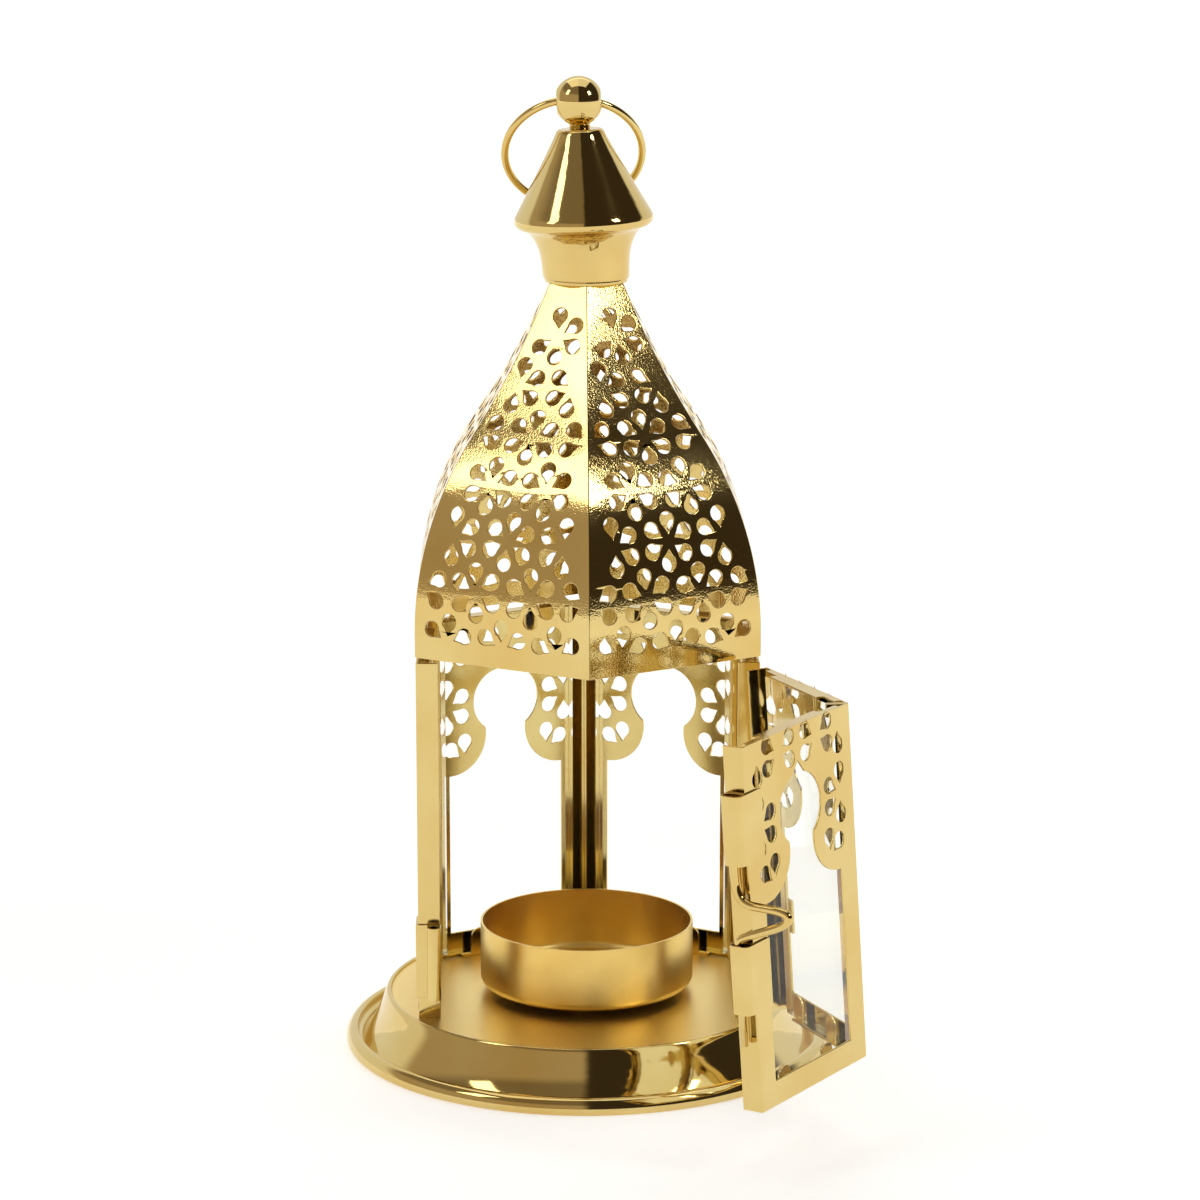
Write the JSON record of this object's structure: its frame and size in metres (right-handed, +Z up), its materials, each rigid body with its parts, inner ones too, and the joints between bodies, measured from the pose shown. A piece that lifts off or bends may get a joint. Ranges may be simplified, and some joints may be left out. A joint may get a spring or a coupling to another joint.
{
  "type": "moroccan metal lantern",
  "caption": "Hexagonal pierced gold metal candle lantern with a glazed body, onion-shaped roof, hinged folding door with a sliding latch, candle cup and a swinging hanging ring.",
  "frame": {"origin": "centre of the round base, on the plane that its rolled rim stands on", "axes": "+Z up through the roof and the hanging ring, -Y out through the door opening, +X towards the hinge side"},
  "size_m": [0.105, 0.1456, 0.2025],
  "materials": {
    "gold_sheet": "polished",
    "gold_roof": "polished, lightly rippled",
    "gold_spun": "polished, fine spinning lines",
    "gold_satin": "satin",
    "gold_turned": "polished",
    "gold_wire": "polished",
    "gold_strap": "polished",
    "clear_glass": "clear"
  },
  "bodies": {
    "lantern_body": {"base_dish": "gold_spun", "candle_cup": "gold_satin", "cup_spacer": "gold_satin", "cup_rivet": "gold_satin", "panel_right": "gold_sheet", "panel_back_right": "gold_sheet", "panel_back_left": "gold_sheet", "panel_left": "gold_sheet", "glass_right": "clear_glass", "glass_back_right": "clear_glass", "glass_back_left": "clear_glass", "glass_left": "clear_glass", "roof_front_right": "gold_roof", "roof_right": "gold_roof", "roof_back_right": "gold_roof", "roof_back_left": "gold_roof", "roof_left": "gold_roof", "roof_front_left": "gold_roof", "neck_ring": "gold_spun", "cap": "gold_spun", "finial_ball": "gold_turned", "finial_stud": "gold_turned", "finial_nut": "gold_turned", "hinge_leaf_upper": "gold_strap", "hinge_leaf_lower": "gold_strap", "hinge_pin_upper": "gold_wire", "hinge_pin_lower": "gold_wire", "latch_keeper": "gold_strap"},
    "door": {"door_panel_hinge_side": "gold_sheet", "door_panel_latch_side": "gold_sheet", "glass_door_hinge_side": "clear_glass", "glass_door_latch_side": "clear_glass", "door_knuckle_upper": "gold_strap", "door_knuckle_lower": "gold_strap", "latch_tube_upper": "gold_strap", "latch_tube_lower": "gold_strap"},
    "latch_rod": {"latch_rod": "gold_wire"},
    "hanging_ring": {"hanging_ring": "gold_wire"}
  },
  "joints": [
    {"name": "door_hinge", "type": "hinge", "parent": "lantern_body", "child": "door", "pos_m": [0.0356, -0.02185, 0.0483], "axis": [-0.0314, -0.0358, 0.9989], "range_deg": [-82.5, 95]},
    {"name": "latch_slide", "type": "slide", "parent": "door", "child": "latch_rod", "axis": [-0.0628, 0, 0.998], "range_m": [0, 0.0035]},
    {"name": "ring_swing", "type": "hinge", "parent": "lantern_body", "child": "hanging_ring", "pos_m": [-0.00149, 0, 0.19742], "axis": [0.9991, 0, 0.0419], "range_deg": [0, 290]}
  ]
}
